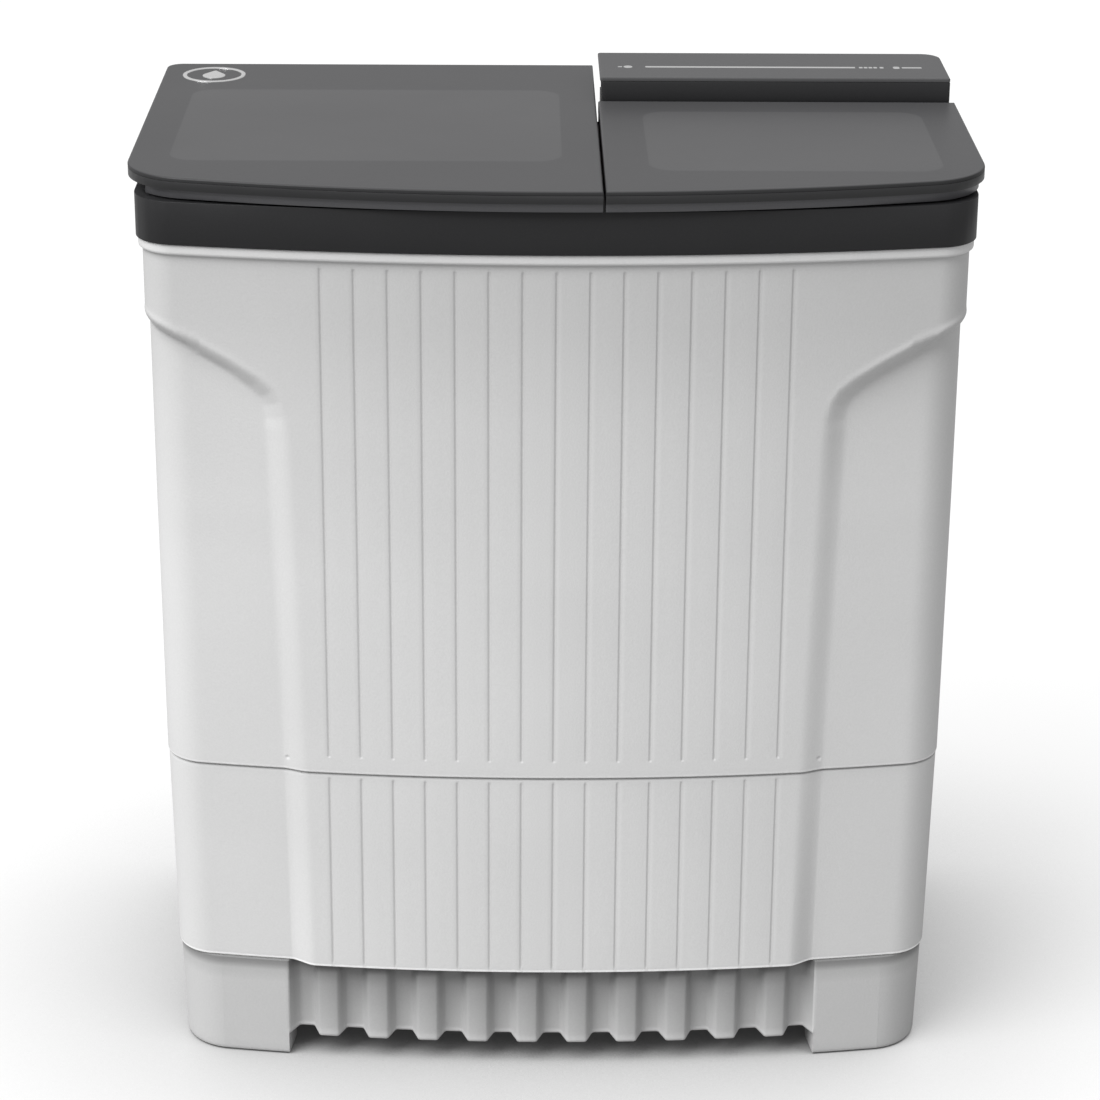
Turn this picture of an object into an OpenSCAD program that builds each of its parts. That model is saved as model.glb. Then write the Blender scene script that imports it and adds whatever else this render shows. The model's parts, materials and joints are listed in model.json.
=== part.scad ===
// Twin tub washer: a wash tub with a pulsator beside a spin basket, in one cabinet.
// Millimetres. X runs to the right, Y to the back and Z up. The origin is on the floor,
// under the centre of the lids' outline.

/* [Overall] */
// Width across the lids
lid_w = 820; // [810:1:840]
// Depth across the lids
lid_d = 512; // [508:1:530]
// Height of the lids' top face above the floor
lid_top = 938; // [932:1:950]
// Height of the control panel's top face above the lids
panel_rise = 23; // [16:1:30]
// Height of the base, up to the cabinet's lower edge
base_h = 110; // [100:1:112]

/* [Cabinet] */
// Radius of the bowed front
body_bow = 2100; // [1900:10:2600]
// Height of the belt line above the floor
belt_z = 330; // [320:1:345]
// Depth of the recessed front corners
recess_d = 11; // [8:0.5:12]
// Wall thickness of the moulded shells
wall = 3; // [2.5:0.1:3.5]
// Number of vertical grooves in the front
groove_count = 15; // [7:2:15]
// Distance between the grooves
groove_pitch = 32; // [24:1:33]

/* [Lids] */
// Radius of the lids' bowed front edge
lid_bow = 1475; // [1300:5:1700]
// Radius of the lids' front corners
lid_corner = 72; // [60:1:80]
// Seam between the two lids
seam_x = 43.5; // [42:0.5:44]
// Thickness of the glass
glass_t = 4; // [3:0.5:4]

/* [Wash side] */
// Height of the wash tub's floor above the ground
wash_floor = 400; // [395:1:410]
// Radius of the pulsator
pulsator_r = 165; // [140:1:170]
// Groove floor radius of the driven pulley
big_pulley_r = 92; // [80:1:94]
// Distance from the gearbox axis to the motor axis
belt_span = 170; // [165:1:172]

/* [Spin side] */
// Radius of the spin basket
basket_r = 132; // [120:1:134]
// Rows of drain holes round the basket
basket_rows = 9; // [3:1:10]
// Radius of the spin shaft
spin_shaft_r = 7; // [6:0.5:8]

/* [Hidden] */
$fn = 64;
bow_fn = 720;

// Running clearance of a shaft in its bore, and the gap that keeps other faces apart
run = 0.05;
gap = 0.4;

// Outline of the lids
lid_hw = lid_w / 2;
lid_front = -lid_d / 2;
lid_back = lid_d / 2;
lid_back_r = 17;
lid_bottom = lid_top - 21;
lid_step = lid_top - 12;
glass_z = lid_top - glass_t;
seam_gap = 2.5;

// Outline of the cabinet
body_hw = lid_hw - 14;
body_front = lid_front + 18;
body_back = lid_back - 10;
body_corner = 38;
body_back_r = 20;
recess_hw = body_hw - 3;
recess_corner = 45;
belt_step = 2;
band_proud = 6;
lip_proud = 4;
deck_z = lid_top - 23;
deck_t = 4;
band_z = deck_z - 42;
lip_z = band_z - 11;
ledge_z = band_z - 3;
groove_w = 2.4;
groove_depth = 1.2;

// Outline of the base
base_hw = body_hw - 10;
base_front = body_front + recess_d;
base_back = body_back - 14;
base_corner = 55;
foot_x = 272;
foot_y = 110;
skirt_z = 24;
platform_z = 60;
pad_x = 328;
pad_front = -150;
pad_back = 190;
pad_r = 20;
pad_h = 6;
foot_z = 2;
bump_pitch = 51.2;
bump_count = 10;
bump_depth = 12;

// Wash tub and what is on its axis
tub_x0 = -365;
tub_x1 = 15;
tub_y0 = -190;
tub_y1 = 205;
tub_r = 40;
wash_x = (tub_x0 + tub_x1) / 2;
wash_y = (tub_y0 + tub_y1) / 2;
mouth_in = 13;
filter_x0 = wash_x - 60;
filter_x1 = wash_x + 60;
filter_z0 = 620;
filter_z1 = 850;
pulley_z = 290;
pulley_h = 18;
belt_w = 9;
belt_t = 8.7;
belt_fit = 0.3;
small_pulley_r = (big_pulley_r + belt_fit + belt_t / 2) / 4 - belt_t / 2 - belt_fit;
motor_x = wash_x + belt_span;
wash_shaft_r = 6;
motor_r = 62;

// Spin tub and what is on its axis
spin_x = 222;
spin_y = -55;
spin_tub_r = 155;
spin_floor = 480;
spin_mouth_r = 125;
basket_z = 500;
basket_top = 850;
basket_t = 2.5;
balance_r = 118;
cover_z = 818;
drum_r = 60;
drum_z = 335;
brake_px = -45;
brake_py = 82;
spin_motor_r = 65;
spin_motor_z = 169;
spring_r = 15;
spring_z = 100;
plate_z = 165;

// Hinge axes of the lids, and the slot beside the panel
wash_hinge_y = lid_back - 20;
wash_hinge_z = deck_z;
ear_t = 8;
wash_ear_r = 7;
wash_pin_r = 3;
spin_back = 96;
spin_hinge_y = spin_back - 12;
spin_hinge_z = lid_top - 10;
spin_ear_r = 5;
spin_pin_r = 2.5;
slot_x0 = 42;
slot_x1 = 50;
slot_y = 101;
slot_wall = 2.5;
rear_ledge_z = deck_z - 26;

// Control panel
panel_x0 = 46.5;
panel_x1 = lid_hw - 4.5;
panel_y0 = 101;
panel_y1 = 215;
panel_top = lid_top + panel_rise;
panel_wall = 2.5;

// Drain valve, drain outlet, water inlet and cord gland
valve_x = -60;
valve_y = 150;
valve_r = 26;
outlet_z = 80;
outlet_r = 14;
spigot_r = 15;
outlet_bore = 11;
hose_r = 10;
hose_x = 300;
hose_y = 40;
hose_join_y = 190;
inlet_x = 140;
inlet_y = 232;
inlet_r = 8;
inlet_run_z = 852;
gland_x = 285;
gland_z = 205;
gland_bore = 4.5;

// ---- Helpers ----

// Solid between two heights
module slab(z0, z1) { translate([0, 0, z0]) linear_extrude(z1 - z0) children(); }

// Box from its lowest corner to its highest corner
module box(a, b) { translate(a) cube(b - a); }

// Round rod from one point to another
module rod(a, b, r) {
    d = b - a;
    translate(a) rotate([0, acos(d.z / norm(d)), atan2(d.y, d.x)]) cylinder(h = norm(d), r = r);
}

// Rod along a list of points, with a ball at each corner
module route(points, r, ball = 1) {
    for (i = [0 : len(points) - 2]) rod(points[i], points[i + 1], r);
    for (i = [1 : len(points) - 2]) translate(points[i]) sphere(r = r * ball);
}

// Cylinder along X
module x_cyl(x0, x1, y, z, r) { translate([x0, y, z]) rotate([0, 90, 0]) cylinder(h = x1 - x0, r = r); }

// Rectangle with its own radius at each corner: front left, front right, back right, back left
module round_rect(x0, y0, x1, y1, r) {
    polygon([[x0, y0 + r[0]], [x0 + r[0], y0 + r[0]], [x0 + r[0], y0], [x1 - r[1], y0],
        [x1 - r[1], y0 + r[1]], [x1, y0 + r[1]], [x1, y1 - r[2]], [x1 - r[2], y1 - r[2]],
        [x1 - r[2], y1], [x0 + r[3], y1], [x0 + r[3], y1 - r[3]], [x0, y1 - r[3]]]);
    translate([x0 + r[0], y0 + r[0]]) circle(r = r[0]);
    translate([x1 - r[1], y0 + r[1]]) circle(r = r[1]);
    translate([x1 - r[2], y1 - r[2]]) circle(r = r[2]);
    translate([x0 + r[3], y1 - r[3]]) circle(r = r[3]);
}

module even_rect(x0, y0, x1, y1, r) { round_rect(x0, y0, x1, y1, [r, r, r, r]); }

// How far a bowed front has come back at x
function sag(bow, x) = bow - sqrt(bow * bow - x * x);

// Outline with a bowed front: the corner arcs touch the bow and the straight sides
module bow_shape(hw, front, bow, corner, back, back_r) {
    cy = front + bow;
    fx = hw - corner;
    fy = cy - sqrt(pow(bow - corner, 2) - fx * fx);
    past = 1.2 * bow / (bow - corner);
    intersection() {
        translate([0, cy]) circle(r = bow, $fn = bow_fn);
        polygon([[hw, fy], [fx, fy], [fx * past, cy + (fy - cy) * past],
            [-fx * past, cy + (fy - cy) * past], [-fx, fy], [-hw, fy],
            [-hw, back - back_r], [back_r - hw, back - back_r], [back_r - hw, back],
            [hw - back_r, back], [hw - back_r, back - back_r], [hw, back - back_r]]);
    }
    for (s = [-1, 1]) {
        translate([s * fx, fy]) circle(r = corner);
        translate([s * (hw - back_r), back - back_r]) circle(r = back_r);
    }
}

// The outlines, most of them moved inwards by t; the lids' lower layer is a fixed step smaller
module lid_outline(t) {
    bow_shape(lid_hw - t, lid_front + t, lid_bow - t, lid_corner - t, lid_back - t, lid_back_r - min(t, 14));
}
module lid_layer_outline() {
    bow_shape(lid_hw - 5, lid_front + 5, lid_bow - 5, lid_corner - 5, lid_back - 12, lid_back_r - 12);
}
module body_outline(t) {
    bow_shape(body_hw - t, body_front + t, body_bow - t, body_corner - t, body_back - t, body_back_r - t);
}
module recess_outline(t) {
    bow_shape(recess_hw - t, body_front + recess_d + t, body_bow - t, recess_corner - t,
        body_back - t, body_back_r - t);
}
module base_outline(t, front_t) {
    bow_shape(base_hw - t, base_front + front_t, body_bow - front_t, base_corner - front_t,
        base_back - t, 16);
}
module band_outline(t) { body_outline(t - band_proud); }

// ---- Base ----

module base() color("gainsboro") {
    difference() {
        slab(foot_z, base_h) base_outline(0, 0);
        slab(platform_z, base_h + 1) base_outline(4, 16);
        slab(0, platform_z - 4) base_outline(4, 16);
        slab(0, base_h + 1) skirt_recess();
        box([-foot_x, -lid_d, 0], [foot_x, lid_d, skirt_z]);
        box([-lid_w, -foot_y, 0], [lid_w, foot_y + 30, skirt_z]);
        translate([valve_x, base_back + 1, outlet_z]) rotate([90, 0, 0]) cylinder(h = 8, r = outlet_r + gap);
    }
    for (x = [-pad_x, pad_x], y = [pad_front, pad_back])
        translate([x, y, pad_h]) cylinder(h = platform_z - pad_h, r = 18);
    for (p = wash_mount_points()) translate([p.x, p.y, platform_z]) cylinder(h = 78, r = 13);
    for (p = spring_points()) translate([p.x, p.y, platform_z]) cylinder(h = spring_z - platform_z, r = 20);
}

function wash_mount_points() = [for (a = [45 : 90 : 315]) [motor_x + 62 * cos(a), wash_y + 62 * sin(a)]];
function spring_points() = [for (a = [30 : 120 : 270]) [spin_x + 68 * cos(a), spin_y + 68 * sin(a)]];

// What is cut away in front of the skirt, between the feet and round the bumps
module skirt_recess() {
    difference() {
        translate([-foot_x, base_front - 5]) square([2 * foot_x, 60]);
        translate([0, base_front + bump_depth + body_bow]) circle(r = body_bow, $fn = bow_fn);
        for (i = [0.5 - bump_count / 2 : bump_count / 2 - 0.5]) {
            x = i * bump_pitch;
            translate([x, base_front + sag(body_bow, x)])
                polygon([[-9, -12], [9, -12], [9, 0], [18, bump_depth + 3], [-18, bump_depth + 3], [-9, 0]]);
        }
    }
}

module foot_pads() color("dimgray") {
    for (x = [-pad_x, pad_x], y = [pad_front, pad_back])
        translate([x, y, 0]) cylinder(h = pad_h, r = pad_r);
}

// ---- Cabinet ----

// Raised part of the front, seen from the front: the centre column and the top under the band
module raised_face(s) {
    half = [[249, base_h - 1], [254, 620], [257, 700], [271, 733], [285, 744], [314, 761], [349, 779],
        [378, 791], [lid_hw, 799]];
    right = [for (p = half) [p.x - s, p.y + s]];
    left = [for (i = [len(half) - 1 : -1 : 0]) [-right[i].x, right[i].y]];
    translate([0, lid_back, 0]) rotate([90, 0, 0]) linear_extrude(lid_d)
        polygon(concat(right, [[lid_hw, band_z + 1], [-lid_hw, band_z + 1]], left));
}

// Whole form of the cabinet, moved inwards by t
module cabinet_form(t) {
    slab(base_h, belt_z + t) recess_outline(t + belt_step);
    slab(belt_z + t, band_z) recess_outline(t);
    intersection() {
        union() {
            slab(base_h, belt_z + t) body_outline(t + belt_step);
            slab(belt_z + t, band_z) body_outline(t);
        }
        raised_face(t);
    }
}

module grooves(z0, z1, t) {
    slab(z0, z1) intersection() {
        difference() {
            body_outline(t - 1);
            body_outline(t + groove_depth);
        }
        for (i = [0 : groove_count - 1])
            translate([(i - (groove_count - 1) / 2) * groove_pitch - groove_w / 2, -lid_d])
                square([groove_w, lid_d]);
    }
}

module cabinet() color("whitesmoke") {
    difference() {
        cabinet_form(0);
        difference() {
            cabinet_form(wall);
            slab(base_h, base_h + wall) body_outline(-10);
        }
        slab(base_h - 1, base_h + wall + 1) base_outline(8, 20);
        grooves(belt_z + 13, lip_z - 2, 0);
        grooves(base_h + 2, belt_z - 4, belt_step);
        box([-310, body_back - 10, 180], [310, body_back + 1, 780]);
        for (p = cover_screw_points()) translate([p.x, body_back - 4, p.y]) rotate([-90, 0, 0])
            cylinder(h = 5, r = 2.2);
    }
    slab(lip_z, ledge_z) difference() {
        body_outline(-lip_proud);
        body_outline(12);
        translate([inlet_x, inlet_y]) circle(r = inlet_r + gap);
    }
    slab(ledge_z, band_z) difference() {
        body_outline(-lip_proud);
        body_outline(wall);
    }
}

// Places of the screws round the back cover, as [x, z]
function cover_screw_points() = concat([for (x = [-320, 320], z = [180, 380, 580, 780]) [x, z]],
    [for (x = [-107, 107], z = [166, 794]) [x, z]]);

module back_cover() color("lightgray") {
    difference() {
        box([-332, body_back, 158], [332, body_back + 2, 802]);
        for (p = cover_screw_points()) translate([p.x, body_back - 1, p.y]) rotate([-90, 0, 0])
            cylinder(h = 4, r = 2.3);
        translate([gland_x, body_back - 1, gland_z]) rotate([-90, 0, 0]) cylinder(h = 4, r = 9);
        for (i = [0 : 9], x = [-230, 150])
            box([x, body_back - 1, 560 + i * 18], [x + 80, body_back + 3, 565 + i * 18]);
    }
}

module back_cover_screws() color("silver") {
    for (p = cover_screw_points()) translate([p.x, body_back - 3, p.y]) rotate([-90, 0, 0]) {
        cylinder(h = 5, r = 2);
        translate([0, 0, 5]) cylinder(h = 2.4, r = 4.5);
    }
}

// ---- Top frame ----

module wash_mouth(t) {
    even_rect(tub_x0 + mouth_in - t, tub_y0 + 12 - t, tub_x1 - mouth_in + t, tub_y1 - 2 + t, 30 + t);
}
module spin_mouth(t) { translate([spin_x, spin_y]) circle(r = spin_mouth_r + t); }

module top_frame() color("#2b2c2e") {
    difference() {
        union() {
            slab(band_z, deck_z) difference() {
                band_outline(0);
                band_outline(wall + 2);
            }
            slab(deck_z - deck_t, deck_z) band_outline(0);
            slab(band_z + 1, deck_z) {
                wash_mouth(wall);
                spin_mouth(wall);
            }
            box([slot_x0 - slot_wall, slot_y - slot_wall, band_z], [slot_x1 + slot_wall, body_back, deck_z]);
        }
        slab(band_z - 1, deck_z + 1) {
            wash_mouth(0);
            spin_mouth(0);
        }
        box([slot_x0, slot_y, band_z + slot_wall], [slot_x1, lid_d, deck_z + 1]);
        box([-lid_w, wash_hinge_y - 10, rear_ledge_z], [slot_x0, lid_d, deck_z + 1]);
        box([seam_x, spin_hinge_y - 4, deck_z - 2], [lid_w, panel_y0 - 0.5, deck_z + 1]);
        translate([inlet_x, inlet_y, band_z]) cylinder(h = 60, r = inlet_r + gap);
        for (p = frame_screw_points()) translate([p.x, p.y, p.z - 20]) cylinder(h = 21, r = 2.3);
    }
    intersection() {
        slab(rear_ledge_z - wall, deck_z) band_outline(0);
        union() {
            difference() {
                box([-lid_w, wash_hinge_y - 13, rear_ledge_z - wall], [slot_x0 - 1, lid_d, rear_ledge_z]);
                for (p = frame_screw_points()) translate([p.x, p.y, p.z - 20]) cylinder(h = 21, r = 2.3);
            }
            box([-lid_w, wash_hinge_y - 13, rear_ledge_z - wall], [slot_x0 - 1, wash_hinge_y - 10, deck_z]);
        }
    }
    for (x = wash_ears()) wash_ear(x);
    for (x = spin_ears()) spin_ear(x);
}

function wash_ears() = [-380, 8];
function spin_ears() = [62, 380];
module wash_ear(x) {
    difference() {
        union() {
            x_cyl(x, x + ear_t, wash_hinge_y, wash_hinge_z, wash_ear_r);
            box([x, wash_hinge_y - wash_ear_r, rear_ledge_z - 1],
                [x + ear_t, wash_hinge_y + wash_ear_r, wash_hinge_z]);
        }
        x_cyl(x - 1, x + ear_t + 1, wash_hinge_y, wash_hinge_z, wash_pin_r + run);
    }
}

module spin_ear(x) {
    difference() {
        union() {
            x_cyl(x, x + ear_t, spin_hinge_y, spin_hinge_z, spin_ear_r);
            box([x, spin_hinge_y - spin_ear_r, deck_z - 3],
                [x + ear_t, spin_hinge_y + 1.5, spin_hinge_z]);
        }
        x_cyl(x - 1, x + ear_t + 1, spin_hinge_y, spin_hinge_z, spin_pin_r + run);
    }
}

function frame_screw_points() = concat([for (x = [-300, -170, -40]) [x, 243, rear_ledge_z]],
    [for (x = [75, 220, 370]) [x, 236, deck_z]]);

module top_frame_screws() color("silver") {
    for (p = frame_screw_points()) translate(p) {
        cylinder(h = 2.4, r = 4);
        translate([0, 0, -8]) cylinder(h = 8, r = 2);
    }
}

module lid_buffers() color("black") {
    for (p = [[-330, -175], [-5, -215], [100, -212], [340, -170]]) translate([p.x, p.y, deck_z])
        cylinder(h = lid_bottom - deck_z, r = 5);
}

// ---- Tubs ----

module wash_tub() color("white") {
    difference() {
        union() {
            slab(wash_floor - wall, band_z)
                even_rect(tub_x0 - wall, tub_y0 - wall, tub_x1 + wall, tub_y1 + wall, tub_r + wall);
            slab(ledge_z, band_z) intersection() {
                body_outline(wall + 0.5);
                translate([-lid_w, -lid_d]) square([lid_w + slot_x0 - 5, 2 * lid_d]);
            }
            for (p = gearbox_bolt_points()) translate([p.x, p.y, wash_floor - 12]) cylinder(h = 10, r = 9);
        }
        slab(wash_floor, band_z + 1) even_rect(tub_x0, tub_y0, tub_x1, tub_y1, tub_r);
        translate([wash_x, wash_y, wash_floor - 5]) cylinder(h = 10, r = 20);
        translate([valve_x, valve_y, wash_floor - 5]) cylinder(h = 10, r = 14);
        translate([-20, tub_y1 + 6, inlet_run_z]) rotate([90, 0, 0]) cylinder(h = 10, r = inlet_r + gap);
        for (p = gearbox_bolt_points()) translate([p.x, p.y, wash_floor - 13]) cylinder(h = 9, r = 2.6);
    }
    for (x = [filter_x0 - gap - 3, filter_x1 + gap])
        box([x, tub_y1 - 18, filter_z0], [x + 3, tub_y1 + 1, filter_z1]);
    box([filter_x0 - 2, tub_y1 - 18, filter_z0 - gap - 3], [filter_x1 + 2, tub_y1 + 1, filter_z0 - gap]);
}

module spin_tub() color("white") {
    difference() {
        union() {
            translate([spin_x, spin_y, spin_floor - wall])
                cylinder(h = band_z - spin_floor + wall, r = spin_tub_r);
            slab(ledge_z, band_z) intersection() {
                body_outline(wall + 0.5);
                translate([slot_x1 + 6, -lid_d]) square([lid_w, lid_d + 98]);
            }
            translate([hose_x, hose_y, spin_floor - 16]) cylinder(h = 15, r = hose_r - 2.5);
        }
        translate([spin_x, spin_y, spin_floor]) cylinder(h = band_z, r = spin_tub_r - wall);
        translate([spin_x, spin_y, spin_floor - 5]) cylinder(h = 10, r = 48);
        translate([hose_x, hose_y, spin_floor - 20]) cylinder(h = 30, r = hose_r - 5);
    }
}

// ---- Lids ----

module wash_side() {
    intersection() {
        children();
        translate([-lid_w, -lid_d]) square([lid_w + seam_x - seam_gap / 2, 2 * lid_d]);
    }
}
module spin_side(back) {
    intersection() {
        children();
        translate([seam_x + seam_gap / 2, -lid_d]) square([lid_w, lid_d + back]);
    }
}

module wash_window(t) { even_rect(-372 - t, -146 - t, 5 + t, 140 + t, 25 + t); }
module spin_window(t) { even_rect(88 - t, -178 - t, 369 + t, 52 + t, 25 + t); }

module wash_lid_frame() color("#36373a") {
    difference() {
        union() {
            slab(lid_step, glass_z) wash_side() lid_outline(0);
            slab(lid_bottom, lid_step + 1) difference() {
                wash_side() lid_layer_outline();
                difference() {
                    translate([-22, 0]) wash_side() lid_outline(20);
                    wash_window(5);
                }
            }
            for (x = wash_ears()) wash_lug(x + ear_t + 1);
        }
        slab(lid_bottom - 1, lid_top) wash_window(0);
        for (x = wash_ears()) {
            box([x - 1, wash_hinge_y - 12, lid_bottom - 1], [x + ear_t + 1, lid_back, lid_step]);
            x_cyl(x, x + ear_t + 11, wash_hinge_y, wash_hinge_z, wash_pin_r);
        }
    }
}

module wash_lug(x) {
    x_cyl(x, x + 10, wash_hinge_y, wash_hinge_z, wash_ear_r);
    box([x, wash_hinge_y - wash_ear_r, wash_hinge_z], [x + 10, wash_hinge_y + wash_ear_r, lid_step + 1]);
}

module wash_lid_glass() color("#4a4b4e") { slab(glass_z, lid_top) wash_side() lid_outline(0); }

module wash_lid_hinge_pins() color("silver") {
    for (x = wash_ears()) x_cyl(x, x + ear_t + 11, wash_hinge_y, wash_hinge_z, wash_pin_r);
}

// Plain round badge with a drop cut out of it
module lid_badge() color("silver") {
    translate([-357, 204, lid_top]) linear_extrude(0.8) difference() {
        circle(r = 33);
        translate([0, -5]) circle(r = 12);
        polygon([[-10.4, 1], [0, 20], [10.4, 1]]);
    }
}

module spin_lid_frame() color("#36373a") {
    difference() {
        union() {
            slab(lid_step, glass_z) spin_side(spin_back) lid_outline(0);
            slab(lid_bottom, lid_step + 1) difference() {
                spin_side(spin_back - 8) lid_layer_outline();
                difference() {
                    translate([16, 0]) spin_side(spin_back - 30) lid_outline(28);
                    translate([lid_hw - 28, -lid_d]) square([50, lid_w]);
                    spin_window(5);
                }
            }
        }
        slab(lid_bottom - 1, lid_top) spin_window(0);
        for (x = spin_ears())
            box([x - 1, spin_hinge_y - 8, lid_bottom - 1], [x + ear_t + 1, lid_back, glass_z]);
        for (x = spin_pins()) x_cyl(x[0], x[1], spin_hinge_y, spin_hinge_z, spin_pin_r);
    }
}

function spin_pins() = [[spin_ears()[0], spin_ears()[0] + ear_t + 12],
    [spin_ears()[1] - 12, spin_ears()[1] + ear_t]];

module spin_lid_glass() color("#4a4b4e") { slab(glass_z, lid_top) spin_side(spin_back) lid_outline(0); }

module spin_lid_hinge_pins() color("silver") {
    for (x = spin_pins()) x_cyl(x[0], x[1], spin_hinge_y, spin_hinge_z, spin_pin_r);
}

// ---- Control panel ----

module panel_outline(t) {
    round_rect(panel_x0 + t, panel_y0 + t, panel_x1 - t, panel_y1 - t, [3 - t, 3 - t, 20 - t, 3 - t]);
}

module panel_housing() color("#2b2c2e") {
    difference() {
        slab(deck_z, panel_top - 4) panel_outline(0);
        slab(deck_z + 2, panel_top) panel_outline(panel_wall);
        translate([200, 150, deck_z - 1]) cylinder(h = 5, r = 12);
    }
    for (x = [75, 375], y = [176, 202]) translate([x, y, deck_z]) cylinder(h = 11, r = 3);
    for (x = [85, 365], y = [118, 158]) translate([x, y, deck_z]) cylinder(h = 33, r = 3);
}

module panel_glass() color("#4a4b4e") { slab(panel_top - 4, panel_top) panel_outline(0); }

module control_board() color("darkgreen") {
    box([68, 170, deck_z + 11], [382, 208, deck_z + 12.6]);
    for (x = [100 : 40 : 260]) box([x, 176, deck_z + 12], [x + 19, 191, deck_z + 27]);
    for (x = [290, 320]) translate([x, 190, deck_z + 12]) cylinder(h = 20, r = 8);
}

module display_board() color("darkgreen") {
    box([78, 112, deck_z + 33], [372, 165, deck_z + 34.6]);
    for (x = [90 : 14 : 356]) box([x, 148, deck_z + 34], [x + 5, 153, deck_z + 36]);
}

// ---- Wash drive ----

module at_wash(z) { translate([wash_x, wash_y, z]) children(); }
module at_motor(z) { translate([motor_x, wash_y, z]) children(); }

module pulsator() color("lightsteelblue") {
    at_wash(wash_floor) difference() {
        union() {
            rotate_extrude()
                polygon([[0, 5], [pulsator_r, 5], [pulsator_r, 12], [70, 14], [52, 30], [40, 38], [0, 38]]);
            for (a = [0 : 60 : 300]) rotate(a) intersection() {
                translate([45, 0, 8]) rotate([0, 90, 0]) cylinder(h = pulsator_r - 52, r = 17);
                box([45, -17, 8], [pulsator_r, 17, 40]);
            }
        }
        translate([0, 0, 4]) cylinder(h = 27, r = wash_shaft_r);
        translate([0, 0, 30]) cylinder(h = 9, r = 14);
    }
}

module pulsator_cap() color("white") {
    at_wash(wash_floor + 38) rotate_extrude() polygon([[0, 0], [18, 0], [18, 2], [12, 5], [0, 6]]);
}

module pulsator_screw() color("silver") {
    at_wash(wash_floor + 30) {
        cylinder(h = 5, r = 9);
        translate([0, 0, -12]) cylinder(h = 12, r = 3);
    }
}

module pulsator_shaft() color("silver") {
    at_wash(wash_floor - 15) difference() {
        cylinder(h = 45, r = wash_shaft_r);
        translate([0, 0, 32]) cylinder(h = 14, r = 3);
    }
}

module pulsator_seal() color("black") {
    at_wash(wash_floor - 6) rotate_extrude()
        polygon([[wash_shaft_r + run, 0], [19.7, 0], [19.7, 9], [wash_shaft_r + run, 9]]);
}

module gearbox() color("gray") {
    at_wash(0) difference() {
        union() {
            translate([0, 0, 320]) cylinder(h = 64, r = 55);
            translate([0, 0, 384]) cylinder(h = 9, r = 18);
            translate([0, 0, 312]) cylinder(h = 8, r = 16);
        }
        translate([0, 0, wash_floor - 15.5]) cylinder(h = 30, r = wash_shaft_r + run);
        translate([0, 0, 300]) cylinder(h = 30, r = 8 + run);
    }
}

function gearbox_bolt_points() = [for (sx = [-1, 1], sy = [-1, 1]) [wash_x + sx * 90, wash_y + sy * 60]];

module gearbox_plate() color("silver") {
    difference() {
        slab(384.4, 388) even_rect(wash_x - 105, wash_y - 75, wash_x + 105, wash_y + 75, 12);
        at_wash(380) cylinder(h = 12, r = 18 + gap);
        for (p = gearbox_bolt_points()) translate([p.x, p.y, 380]) cylinder(h = 12, r = 3.3);
    }
}

module gearbox_bolts() color("dimgray") {
    for (p = gearbox_bolt_points()) translate([p.x, p.y, 379.4]) {
        cylinder(h = 5, r = 5, $fn = 6);
        translate([0, 0, 5]) cylinder(h = 11, r = 2.5);
    }
}

// Grooved pulley with hub, web and rim, its groove floor at radius r
module pulley(r, hub_r, shaft_r) {
    rim = r + belt_fit + belt_t + 2;
    rotate_extrude() difference() {
        union() {
            translate([shaft_r, 0]) square([hub_r - shaft_r, pulley_h]);
            translate([hub_r - 1, pulley_h / 2 - 2.5]) square([max(r - hub_r, 2), 5]);
            translate([max(r - 7, hub_r - 1), 0]) square([rim - max(r - 7, hub_r - 1), pulley_h]);
        }
        translate([r, pulley_h / 2 - belt_w / 2 - 0.6]) square([rim, belt_w + 1.2]);
    }
}

module gearbox_pulley() color("silver") {
    at_wash(pulley_z) difference() {
        pulley(big_pulley_r, 20, 8);
        for (a = [0 : 60 : 300]) rotate(a) translate([52, 0, 0]) cylinder(h = pulley_h, r = 18);
    }
    at_wash(pulley_z - 8) cylinder(h = 37.5, r = 8);
}

module pulley_nut() color("dimgray") {
    at_wash(pulley_z - 8) difference() {
        cylinder(h = 8, r = 14, $fn = 6);
        translate([0, 0, -1]) cylinder(h = 10, r = 8);
    }
}

// Outline round the two pulleys
module belt_shape(r1, r2) {
    a = asin((r1 - r2) / belt_span);
    circle(r = r1);
    translate([belt_span, 0]) circle(r = r2);
    polygon([[r1 * sin(a), r1 * cos(a)], [r1 * sin(a), -r1 * cos(a)],
        [belt_span + r2 * sin(a), -r2 * cos(a)], [belt_span + r2 * sin(a), r2 * cos(a)]]);
}

module drive_belt() color("#222222") {
    in1 = big_pulley_r + belt_fit;
    in2 = small_pulley_r + belt_fit;
    at_wash(pulley_z + pulley_h / 2 - belt_w / 2) linear_extrude(belt_w) difference() {
        belt_shape(in1 + belt_t, in2 + belt_t);
        belt_shape(in1, in2);
    }
}

module motor_body(r, z0, z1, shaft_r) {
    difference() {
        union() {
            translate([0, 0, z0]) cylinder(h = z1 - z0, r = r - 6);
            translate([0, 0, z0]) cylinder(h = (z1 - z0) * 0.3, r = r);
            translate([0, 0, z1 - (z1 - z0) * 0.3]) cylinder(h = (z1 - z0) * 0.3, r = r);
            translate([0, 0, z1 - 1]) cylinder(h = 7, r = 20);
        }
        translate([0, 0, z1 - 22]) cylinder(h = 40, r = shaft_r + run);
        for (a = [0 : 45 : 315]) rotate(a) translate([r * 0.62, 0, z1 - 6]) cylinder(h = 8, r = 6);
    }
}

module wash_motor() color("slategray") {
    at_motor(0) {
        motor_body(motor_r, 152, 276, wash_shaft_r);
        for (a = [45 : 90 : 315]) rotate(a) box([motor_r - 14, -14, 148], [motor_r + 14, 14, 152.5]);
    }
}

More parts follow.
